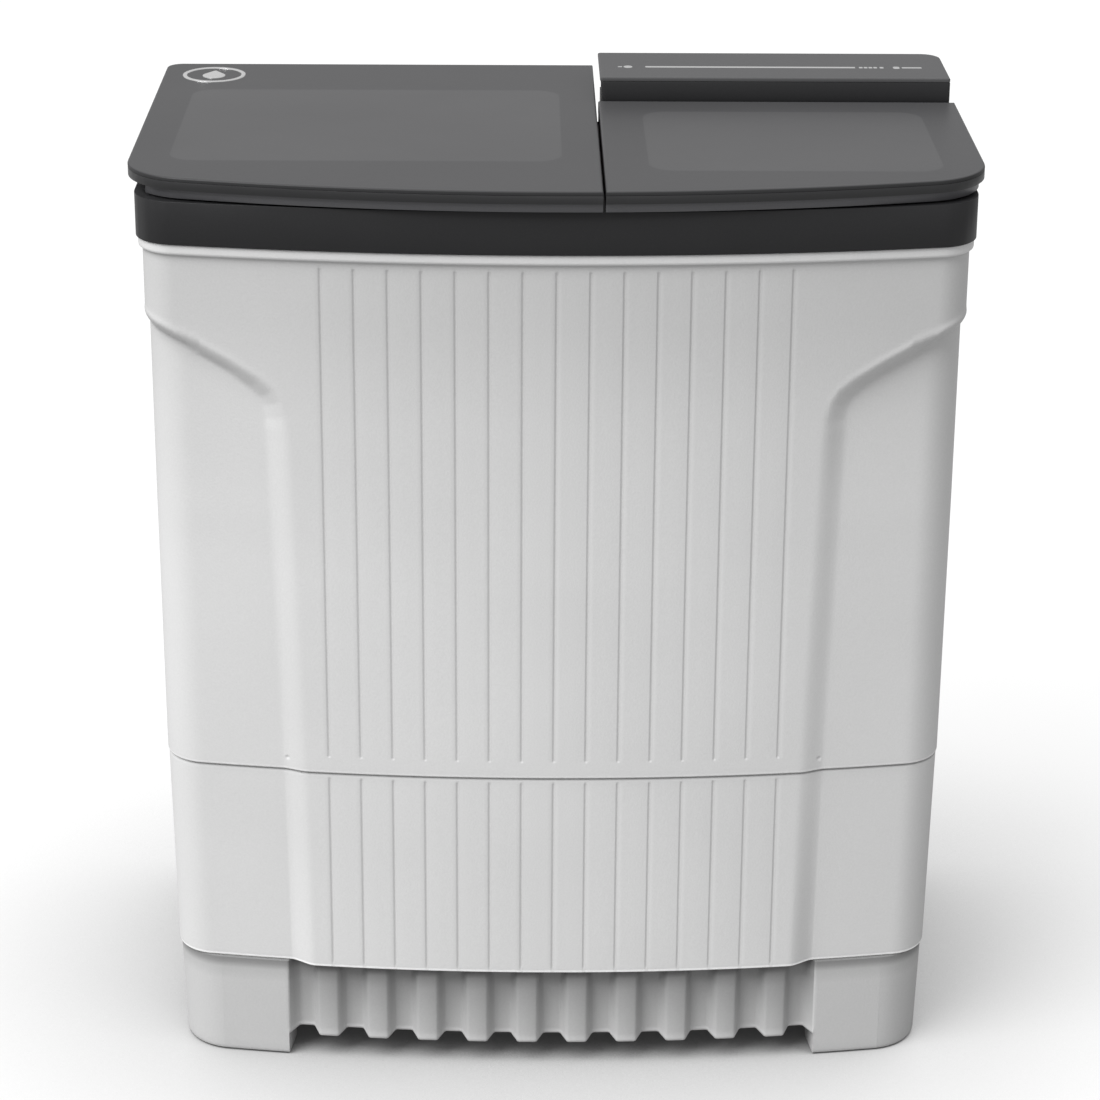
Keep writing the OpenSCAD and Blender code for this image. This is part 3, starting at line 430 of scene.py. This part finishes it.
def add_object(name, points, faces, finish, sharp=35.0):
    """Mesh object from points in millimetres, smooth except at edges sharper than the angle."""
    mesh = bpy.data.meshes.new(name)
    mesh.from_pydata([tuple(float(c) * MM for c in p) for p in points], [], faces)
    mesh.validate()
    work = bmesh.new()
    work.from_mesh(mesh)
    bmesh.ops.recalc_face_normals(work, faces=work.faces)
    work.to_mesh(mesh)
    work.free()
    made = bpy.data.objects.new(name, mesh)
    bpy.context.scene.collection.objects.link(made)
    mesh.materials.append(finish)
    mesh.shade_smooth()
    mesh.set_sharp_from_angle(angle=math.radians(sharp))
    return made


def keep(piece, body, node):
    """Ties a piece to its body and hides the solid it stands for."""
    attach(piece, body)
    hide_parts(node)


def tube_object(name, rings, finish, sharp=35.0, capped=False):
    """Closed surface through rings of points: capped at both ends, or joined from the last to the first."""
    count = len(rings[0])
    points = [point for ring in rings for point in ring]
    faces = []
    for row in range(len(rings) - 1):
        for col in range(count):
            after = (col + 1) % count
            faces.append((row * count + col, row * count + after,
                          (row + 1) * count + after, (row + 1) * count + col))
    last = (len(rings) - 1) * count
    if capped:
        faces.append(tuple(range(count))[::-1])
        faces.append(tuple(range(last, last + count)))
    else:
        for col in range(count):
            after = (col + 1) % count
            faces.append((last + col, last + after, after, col))
    return add_object(name, points, faces, finish, sharp)


def round_corner(centre_x, centre_y, radius, start, turn, steps):
    """Points along an arc from the angle start through the angle turn, both in radians."""
    angles = [start + turn * k / steps for k in range(steps + 1)]
    return [(centre_x + radius * math.cos(a), centre_y + radius * math.sin(a)) for a in angles]


def bow_half(half_width, front, corner, back, back_corner, front_x, side_steps=16, back_steps=12):
    """Right half of an outline with a bowed front: rows of x, y and the outward direction.

    The bow passes the columns front_x on its way to the front corner. A straight side, the back corner and
    half the back follow. corner and back_corner are radii.
    """
    corner_steps = 14
    back_corner_steps = 7
    centre_y = front + FRONT_BOW
    corner_x = half_width - corner
    corner_y = centre_y - math.sqrt((FRONT_BOW - corner) ** 2 - corner_x * corner_x)
    touch = corner_x * FRONT_BOW / (FRONT_BOW - corner)
    last = front_x[-1]
    rows = []
    for x in list(front_x) + [last + (touch - last) * k / 3 for k in (1, 2, 3)]:
        y = centre_y - math.sqrt(FRONT_BOW * FRONT_BOW - x * x)
        rows.append((x, y, x / FRONT_BOW, (y - centre_y) / FRONT_BOW))
    start = math.atan2(corner_y - centre_y, corner_x)
    for k in range(1, corner_steps + 1):
        angle = start * (1 - k / corner_steps)
        out_x, out_y = math.cos(angle), math.sin(angle)
        rows.append((corner_x + corner * out_x, corner_y + corner * out_y, out_x, out_y))
    side_end = back - back_corner
    for k in range(1, side_steps + 1):
        rows.append((half_width, corner_y + (side_end - corner_y) * k / side_steps, 1.0, 0.0))
    for k in range(1, back_corner_steps + 1):
        angle = math.pi / 2 * k / back_corner_steps
        out_x, out_y = math.cos(angle), math.sin(angle)
        rows.append((half_width - back_corner + back_corner * out_x, side_end + back_corner * out_y,
                     out_x, out_y))
    for k in range(1, back_steps + 1):
        rows.append(((half_width - back_corner) * (1 - k / back_steps), back, 0.0, 1.0))
    return np.array(rows)


def whole_loop(half):
    """Adds the mirrored left half to a right half; its rows start with x, and the rest stays as it is."""
    left = half[1:-1][::-1].copy()
    left[:, 0] *= -1.0
    return np.vstack([half, left])


# ---- Cabinet ----

# Edge of the raised face on the right half, as distance round the front and height.
RAMP_LINE = [(243, 60), (243, 100), (245, 252), (248, 417), (251, 523), (254, 620), (256, 680),
             (258, 704), (263, 721), (271, 733), (285, 744), (314, 761), (349, 779), (378, 791),
             (400, 797), (430, 801), (470, 803), (900, 803)]
# Width over which the face falls to the recess, by height.
RAMP_WIDTH = [(0, 25), (690, 25), (722, 19), (748, 14), (1000, 12)]


def cabinet_columns():
    """Places along the front: close together at the grooves, the ramp and the dimple."""
    columns = {0.0}
    for centre in GROOVES:
        edges = [centre + off for off, depth in GROOVE_SHAPE]
        columns.update(round(x, 3) for x in edges if x >= 0)
        columns.update((centre + 6.0, centre + 16.0))
    columns.update(np.arange(232.0, 262.1, 2.5))
    columns.update(np.arange(262.5, 270.1, 0.75))
    columns.update(np.arange(272.0, 343.0, 2.5))
    return sorted(columns)


def groove_depth(x):
    """Depth of the grooves at x on the right half. The middle groove shows one side of its shape twice."""
    nearest = min(GROOVES, key=lambda centre: abs(x - centre))
    off = x - nearest if nearest else -x
    offs, depths = zip(*GROOVE_SHAPE)
    return float(np.interp(off, offs, depths))


def line_distance(points, line):
    """Signed distance from points to a line, above zero on its upper left side."""
    best = np.full(len(points), 1e9)
    side = np.ones(len(points))
    for start, end in zip(line[:-1], line[1:]):
        step = np.subtract(end, start, dtype=float)
        to = points - np.array(start)
        share = np.clip(to @ step / (step @ step), 0.0, 1.0)
        off = to - share[:, None] * step
        distance = np.hypot(off[:, 0], off[:, 1])
        cross = step[0] * to[:, 1] - step[1] * to[:, 0]
        closer = distance < best - 1e-9
        best = np.where(closer, distance, best)
        side = np.where(closer, np.where(cross >= 0, 1.0, -1.0), side)
    return best * side


def ramp_share(arc, z):
    """How proud the front stands at each column of a row: 1 on the raised face, 0 in the recess.

    The fall is soft low down. Along the slanted top it starts at a rounded edge with a slight bead.
    """
    points = np.column_stack([arc, np.full(len(arc), z)])
    distance = line_distance(points, RAMP_LINE)
    heights, widths = zip(*RAMP_WIDTH)
    along = np.clip(-distance / np.interp(z, heights, widths), 0.0, 1.0)
    rounded = 1.0 - np.cos(along * math.pi / 2)
    soft = along * along * (3 - 2 * along)
    slanted = np.interp(z, [700, 750], [0.0, 1.0])
    drop = soft + (rounded - soft) * (0.3 + 0.7 * slanted)
    bead = 0.11 * slanted * np.interp(arc, [265, 400], [0.25, 1.0]) * np.exp(-((distance - 0.5) / 3.0) ** 2)
    return 1.0 - drop + bead


def cabinet_rows():
    """Rows of height, how far the row stands in from the outline, and whether grooves cross it."""
    rows = [(BASE_TOP, 3.0, 0), (110.15, 1.5, 0), (110.9, 0.6, 0), (112.5, 0.1, 0), (114.5, 0.0, 0),
            (117.0, 0.0, 1)]
    rows += [(z, 0.0, 1) for z in np.arange(130.0, 321.0, 14.0)]
    rows += [(323.0, 0.0, 1), (324.5, 0.0, 0)]
    rows = [(z, inset + 2.0, grooved) for z, inset, grooved in rows]
    rows += [(326.0, 2.0, 0), (327.6, 2.3, 0), (328.3, 3.6, 0), (BELT, 3.6, 0), (330.05, 1.5, 0),
             (330.5, 0.65, 0), (331.4, 0.15, 0), (333.0, 0.0, 0)]
    rows += [(z, 0.0, 0) for z in np.arange(339.5, 347.0, 0.9)]
    rows += [(347.5, 0.0, 0), (349.5, 0.0, 1)]
    rows += [(z, 0.0, 1) for z in np.arange(364.0, 665.0, 14.0)]
    rows += [(z, 0.0, 1) for z in np.arange(672.0, 690.0, 5.0)]
    rows += [(z, 0.0, 1) for z in np.arange(690.0, 812.1, 2.2)]
    rows += [(z, 0.0, 1) for z in (820.0, 832.0, 843.0, 851.0)]
    rows += [(854.0, 0.0, 1), (856.0, 0.0, 0), (858.5, 0.0, 0), (861.0, -0.2, 0), (862.1, -1.2, 0),
             (862.6, -2.6, 0), (863.6, -3.6, 0), (865.4, -4.0, 0), (870.6, -4.0, 0), (871.8, -3.7, 0),
             (872.6, -3.0, 0), (873.0, -2.0, 0)]
    return rows


def build_cabinet():
    """The moulded shell, its grooves, ramps, belt line and lip, as one closed skin."""
    half_width, front, back, back_corner = 396.0, -238.0, 246.0, 20.0
    wall = 3.2
    front_x = cabinet_columns()
    proud = bow_half(half_width, front, 38.0, back, back_corner, front_x)
    step = np.hypot(np.diff(proud[:, 0]), np.diff(proud[:, 1]))
    arc = np.concatenate([[0.0], np.cumsum(step)])
    outer, inner = [], []
    for z, inset, grooved in cabinet_rows():
        recess_half = np.interp(z, [BASE_TOP, BELT - 0.1, BELT, 790.0], [389.0, 392.3, 391.3, 393.4])
        recess_front = front + np.interp(z, [BASE_TOP, BELT, 600.0, 770.0], [11.0, 6.0, 6.0, 11.0])
        recess = bow_half(float(recess_half), float(recess_front), 45.0, back, back_corner, front_x)
        share = ramp_share(arc, z)[:, None]
        line = recess + (proud - recess) * share
        line[:, 2:] /= np.hypot(line[:, 2], line[:, 3])[:, None]
        deep = np.array([groove_depth(x) if x < 235 else 0.0 for x in line[:, 0]])
        deep[len(front_x):] = 0.0
        pit = np.clip(1.0 - np.hypot(line[:, 0] - DIMPLE[0], z - DIMPLE[1]) / 2.6, 0.0, 1.0) * 1.2
        pit = np.where(line[:, 1] < 0, pit, 0.0)
        total = (inset + deep * grooved + pit)[:, None]
        whole = whole_loop(line[:, :2] - line[:, 2:] * total)
        outer.append([(x, y, z) for x, y in whole])
        thick = max(inset, 0.0) + wall
        skin = recess[:, :2] - recess[:, 2:] * thick
        skin_proud = proud[:, :2] - proud[:, 2:] * thick
        whole = whole_loop(skin + (skin_proud - skin) * share)
        inner.append([(x, y, z) for x, y in whole])
    shell = tube_object("cabinet_shell", outer + inner[::-1], WHITE, sharp=50.0)
    smooth = shell.modifiers.new("even_shading", "WEIGHTED_NORMAL")
    smooth.keep_sharp = True
    keep(shell, "machine", "cabinet")


# ---- Base ----

SKIRT_HALF = 272.0        # half the width of the skirt between the front feet
SKIRT_DEPTH = 12.0
BUMP_PITCH = 51.2
BUMPS = 5                 # on each half


def skirt_depth(x):
    """How far the skirt lies behind the base's front at x: bumps in a recess between the feet."""
    if x >= SKIRT_HALF:
        return 0.0
    fall = [0.0, 0.8, 11.2, SKIRT_DEPTH]
    bump = min(math.floor(x / BUMP_PITCH), BUMPS - 1)
    off = abs(x - (bump + 0.5) * BUMP_PITCH)
    crest = float(np.interp(off, [8.0, 10.0, 16.5, 18.5], fall))
    edge = float(np.interp(SKIRT_HALF - x, [0.0, 1.0, 9.0, 12.0], fall))
    return min(crest, edge)


def base_columns():
    """Places along the base's front: close together on the sides of the bumps and at the feet."""
    columns = {0.0}
    for bump in range(BUMPS):
        centre = (bump + 0.5) * BUMP_PITCH
        for off in (0.0, 8.0, 9.0, 10.0, 13.2, 16.5, 17.5, 18.5):
            columns.update((round(centre - off, 3), round(centre + off, 3)))
        columns.add(round(centre + 22.0, 3))
    columns = {x for x in columns if 0 <= x <= BUMPS * BUMP_PITCH}
    columns.update((258.0, 260.0, 263.0, 267.0, 271.0, 271.9, 272.1, 275.0, 285.0, 300.0, 320.0, 340.0))
    return sorted(columns)


def base_outline(z, front_x):
    """Right half of the base's outline at a height. The base widens a little towards its top."""
    half_width = 382.5 + 3.5 * z / BASE_TOP
    return bow_half(half_width, -227.0, 55.0, 232.0, 16.0, front_x, side_steps=24, back_steps=14)


def build_base():
    """The base moulding: a skirt with bumps, a platform inside it and four corner feet."""
    front_x = base_columns()
    rows = [(BASE_TOP, 2.0), (109.0, 0.3), (107.0, 0.0), (90.0, 0.0), (70.0, 0.0), (50.0, 0.0), (35.0, 0.0),
            (30.0, 0.0), (28.0, -0.5), (26.5, -0.7), (25.2, -0.3), (24.3, 0.8), (24.0, 2.2)]
    outer, inner = [], []
    for z, inset in rows:
        line = base_outline(z, front_x)
        at_front = line[:, 1] < -100
        deep = np.array([skirt_depth(x) if front else 0.0 for x, front in zip(line[:, 0], at_front)])
        skirt = at_front & (line[:, 0] < SKIRT_HALF - 0.05)
        side = (line[:, 0] > 300) & (line[:, 1] > -110) & (line[:, 1] < 140)
        lip = np.where(skirt | side, inset, max(inset, 0.0) if z > 60 else 0.0)
        # The lower edge rises where the skirt lies back.
        lift = 4.5 * np.clip(deep / SKIRT_DEPTH, 0.0, 1.0) * np.clip((35.0 - z) / 8.0, 0.0, 1.0)
        wall = np.where(at_front, 16.0, 4.0)
        for rings, depth in ((outer, deep + lip), (inner, wall)):
            shape = line[:, :2] - line[:, 2:] * depth[:, None]
            whole = whole_loop(np.column_stack([shape, lift]))
            rings.append([(x, y, z + up) for x, y, up in whole])
    skirt = tube_object("base_skirt", outer + inner[::-1], BASE_WHITE_SHADED, sharp=40.0)
    keep(skirt, "machine", "base")
    build_feet(front_x)
    plate = whole_loop(bow_half(380.0, -211.0, 45.0, 228.0, 12.0, front_x)[:, :2])
    rings = [[(x, y, z) for x, y in plate] for z in (56.0, 60.0)]
    deck = tube_object("base_platform", rings, BASE_WHITE_SHADED, capped=True)
    keep(deck, "machine", "base")


def build_feet(front_x):
    """Corner feet below the skirt's edge, each a curved wall that meets the floor with a round edge."""
    rows = [(24.05, 0.0), (23.0, 0.0), (14.0, 0.0), (6.0, 0.0), (3.5, 0.3), (2.0, 1.0), (1.2, 2.4)]
    for name, side, at_front in (("foot_front_left", -1, True), ("foot_front_right", 1, True),
                                 ("foot_back_left", -1, False), ("foot_back_right", 1, False)):
        rings = []
        for z, inset in rows:
            line = base_outline(z, front_x)
            wall = 40.0 if at_front else 30.0
            place = line[:, 1] < -110.0 if at_front else line[:, 1] > 140.0
            part = line[(line[:, 0] > SKIRT_HALF) & place]
            outside = part[:, :2] - part[:, 2:] * inset
            inside = part[:, :2] - part[:, 2:] * (wall - inset)
            rings.append([(side * x, y, z) for x, y in np.vstack([outside, inside[::-1]])])
        foot = tube_object(name, rings, BASE_WHITE_SHADED, sharp=40.0, capped=True)
        keep(foot, "machine", "base")


# ---- Lids, panel and badge ----

LID_HALF = 410.0
LID_FRONT = -256.0
LID_BOW = 1475.0
LID_CORNER = 72.0
WASH_LID_BACK = 256.0
SPIN_LID_BACK = 96.0
WASH_LID_SEAM = 42.25
SPIN_LID_SEAM = 44.75
# Section of a pane's edge, as height and distance in from the outline.
PANE_EDGE = [(934.0, 6.0), (934.0, 0.5), (934.4, 0.0), (936.4, 0.0), (937.3, 0.3), (937.8, 0.9),
             (GLASS_TOP, 1.8), (GLASS_TOP, 3.0), (GLASS_TOP, 6.0)]


def lid_front(inset, seam, steps):
    """Bowed front edge and front corner of a lid on the right, from its seam outwards."""
    bow = LID_BOW - inset
    corner = LID_CORNER - inset
    centre_y = LID_FRONT + LID_BOW
    corner_x = LID_HALF - LID_CORNER
    corner_y = centre_y - math.sqrt((bow - corner) ** 2 - corner_x * corner_x)
    touch = corner_x * bow / (bow - corner)
    ring = [(x, centre_y - math.sqrt(bow * bow - x * x)) for x in np.linspace(seam, touch, steps)]
    start = math.atan2(corner_y - centre_y, corner_x)
    return ring + round_corner(corner_x, corner_y, corner, start, -start, 24)[1:]


def wash_lid_ring(inset, z):
    """Ring of points of the left lid's outline, moved inwards."""
    seam = WASH_LID_SEAM - inset
    radius = 17.0 - inset
    back = WASH_LID_BACK - inset
    ring = lid_front(inset, -seam, 60)
    ring += round_corner(LID_HALF - inset - radius, back - radius, radius, 0.0, math.pi / 2, 12)
    ring.append((-seam, back))
    return [(-x, y, z) for x, y in ring]


def spin_lid_ring(inset, z):
    """Ring of points of the right lid's outline, moved inwards."""
    seam = SPIN_LID_SEAM + inset
    back = SPIN_LID_BACK - inset
    ring = lid_front(inset, seam, 50) + [(LID_HALF - inset, back), (seam, back)]
    return [(x, y, z) for x, y in ring]


def build_lid_glass():
    """Glass panes of the two lids, their edges rounded."""
    rings = [wash_lid_ring(inset, z) for z, inset in PANE_EDGE]
    glass = tube_object("wash_lid_pane", rings, WASH_GLASS, capped=True)
    keep(glass, "wash_lid", "wash_lid_glass")
    rings = [spin_lid_ring(inset, z) for z, inset in PANE_EDGE]
    glass = tube_object("spin_lid_pane", rings, SPIN_GLASS, capped=True)
    keep(glass, "spin_lid", "spin_lid_glass")


def panel_ring(inset, z, lean=0.0):
    """Ring of points of the panel's outline, moved inwards; lean moves the left side in further."""
    left, right = 46.5 + inset + lean, 405.5 - inset
    front, back = 101.0 + inset, 215.0 - inset
    small = max(3.0 - inset, 0.8)
    large = max(20.0 - inset, 0.8)
    quarter = math.pi / 2
    ring = round_corner(left + small, front + small, small, 2 * quarter, quarter, 12)
    ring += round_corner(right - small, front + small, small, 3 * quarter, quarter, 12)
    ring += round_corner(right - large, back - large, large, 0.0, quarter, 12)
    ring += round_corner(left + small, back - small, small, quarter, quarter, 12)
    return [(x, y, z) for x, y in ring]


def build_panel():
    """Control panel: a box with rounded edges whose left side leans, and its glass top."""
    lean, lean_height = 3.5, 23.0
    profile = [(915.0, 8.0), (915.0, 0.6), (915.6, 0.0), (938.0, 0.0), (956.2, 0.0), (957.0, 0.5),
               (957.0, 8.0)]
    rings = [panel_ring(inset, z, lean * min((PANEL_TOP - z) / lean_height, 1.0)) for z, inset in profile]
    box = tube_object("panel_box", rings, TRIM, capped=True)
    keep(box, "machine", "panel_housing")
    profile = [(957.2, 8.0), (957.2, 0.5), (957.6, 0.1), (959.9, 0.0), (960.6, 0.35), (PANEL_TOP, 1.3),
               (PANEL_TOP, 3.0), (PANEL_TOP, 8.0)]
    rings = [panel_ring(inset, z) for z, inset in profile]
    glass = tube_object("panel_pane", rings, PANEL_GLASS, capped=True)
    keep(glass, "machine", "panel_glass")


def mark_outline(left, front, right, back, radius=0.9):
    """Outline of a flat printed mark with round corners."""
    quarter = math.pi / 2
    ring = []
    for turn, (x, y) in enumerate(((right - radius, back - radius), (left + radius, back - radius),
                                   (left + radius, front + radius), (right - radius, front + radius))):
        ring += round_corner(x, y, radius, turn * quarter, quarter, 6)
    return ring


def build_marks():
    """Plain printed marks along the panel: a dot, a long line, dashes and small bars."""
    shapes = [mark_outline(72.0, 144.8, 81.0, 155.2, 4.4), mark_outline(66.0, 148.2, 70.5, 151.8),
              mark_outline(94.5, 147.0, 312.0, 153.0)]
    shapes += [mark_outline(x, 147.0, x + 3.8, 153.0) for x in (316.0, 321.0, 326.0, 331.0)]
    shapes += [mark_outline(337.5, 146.8, 341.5, 153.2), mark_outline(351.5, 145.2, 358.0, 154.8, 2.0),
               mark_outline(360.5, 147.4, 381.0, 152.6)]
    thickness = 0.04
    points, faces = [], []
    for ring in shapes:
        start = len(points)
        count = len(ring)
        points += [(x, y, PANEL_TOP) for x, y in ring]
        points += [(x, y, PANEL_TOP + thickness) for x, y in ring]
        faces.append(tuple(range(start, start + count))[::-1])
        faces.append(tuple(range(start + count, start + 2 * count)))
        for k in range(count):
            after = (k + 1) % count
            faces.append((start + k, start + after, start + count + after, start + count + k))
    marks = add_object("panel_marks", points, faces, MARKS)
    keep(marks, "machine", "panel_glass")


def build_badge():
    """Plain badge: a thin ring round a small drop."""
    centre_x, centre_y = -357.0, 204.0
    section = [(28.4, GLASS_TOP), (28.6, 938.55), (29.2, 938.8), (32.2, 938.8), (32.8, 938.55),
               (33.0, GLASS_TOP)]
    angles = np.linspace(0, 2 * math.pi, 72, endpoint=False)
    rings = [[(centre_x + r * math.cos(a), centre_y + r * math.sin(a), z) for a in angles]
             for r, z in section]
    ring = tube_object("badge_ring", rings, BADGE)
    keep(ring, "wash_lid", "lid_badge")
    width, tip, drop_steps = 12.0, 9.0, 48
    drop = []
    for k in range(drop_steps):
        angle = 2 * math.pi * k / drop_steps
        pull = max(math.sin(angle), 0.0) ** 6
        drop.append((width * math.cos(angle) * (1.0 - 0.35 * pull),
                     width * math.sin(angle) + tip * pull - 4.0))
    rings = [[(centre_x + x * size, centre_y + y * size, z) for x, y in drop]
             for z, size in ((GLASS_TOP, 1.0), (938.5, 0.99), (938.75, 0.94), (938.8, 0.85))]
    shape = tube_object("badge_drop", rings, BADGE, capped=True)
    keep(shape, "wash_lid", "lid_badge")


add_camera()
add_light()
finish_cad_nodes()
build_cabinet()
build_base()
build_lid_glass()
build_panel()
build_marks()
build_badge()
add_floor()
